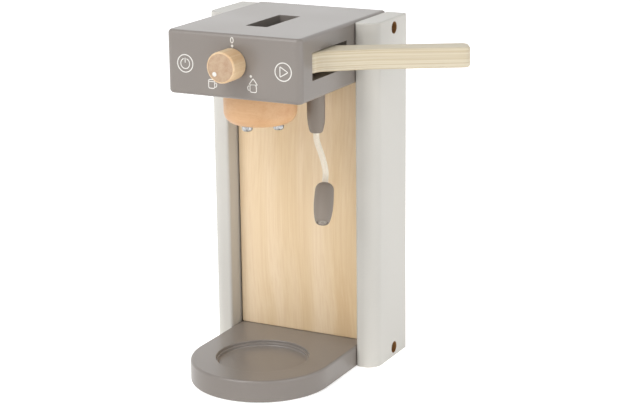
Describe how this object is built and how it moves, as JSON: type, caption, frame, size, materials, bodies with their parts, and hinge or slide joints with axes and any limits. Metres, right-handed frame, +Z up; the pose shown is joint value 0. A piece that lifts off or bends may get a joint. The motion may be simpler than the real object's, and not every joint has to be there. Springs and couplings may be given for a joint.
{
  "type": "toy coffee maker",
  "caption": "Wooden toy coffee maker with painted boards, a turning selector knob, a swinging side lever, a capsule slot and a frother wand on a short cord",
  "frame": {"origin": "on the floor, under the centre of the cup recess and of the base's round front", "axes": "+X to the side that the lever stands out on, +Y to the rear, +Z up"},
  "size_m": [0.1935, 0.143, 0.241],
  "materials": {
    "taupe_paint": "painted satin",
    "pale_grey_paint": "painted satin",
    "nozzle_paint": "painted satin",
    "mark_print": "printed white",
    "board_wood": "satin lacquer",
    "beech_wood": "satin lacquer",
    "lever_wood": "satin lacquer",
    "dowel_wood": "bare wood",
    "cotton_cord": "twisted cotton",
    "zinc_steel": "bright zinc plate"
  },
  "bodies": {
    "body": {"base_plate": "taupe_paint", "left_side_panel": "pale_grey_paint", "right_side_panel": "pale_grey_paint", "back_board": "board_wood", "head_bottom": "taupe_paint", "head_frame": "taupe_paint", "head_top": "taupe_paint", "brew_head": "beech_wood", "brew_head_screws": "zinc_steel", "lever_pivot_dowel": "dowel_wood", "lever_spacer": "dowel_wood", "frother_holder": "taupe_paint", "side_screws": "zinc_steel", "side_dowels": "dowel_wood", "board_dowels": "dowel_wood"},
    "knob": {"selector_knob": "beech_wood", "knob_spindle": "dowel_wood", "knob_collar": "dowel_wood"},
    "lever": {"brew_lever": "lever_wood"},
    "frother": {"frother_cord": "cotton_cord", "frother_wand": "taupe_paint", "wand_nozzle": "nozzle_paint"}
  },
  "joints": [
    {"name": "knob_turn", "type": "hinge", "parent": "body", "child": "knob", "pos_m": [0, -0.032, 0.222], "axis": [0, -1, 0], "continuous": true},
    {"name": "lever_swing", "type": "hinge", "parent": "body", "child": "lever", "pos_m": [0.03, -0.003, 0.22275], "axis": [0, 0, 1], "range_deg": [0, 15]},
    {"name": "frother_swing", "type": "hinge", "parent": "body", "child": "frother", "pos_m": [0.0315, 0.022, 0.169], "axis": [0.8073, 0.5902, 0], "range_deg": [-20, 40], "stiffness_Nm_per_rad": 0.01, "deforming": ["frother_cord"]}
  ]
}
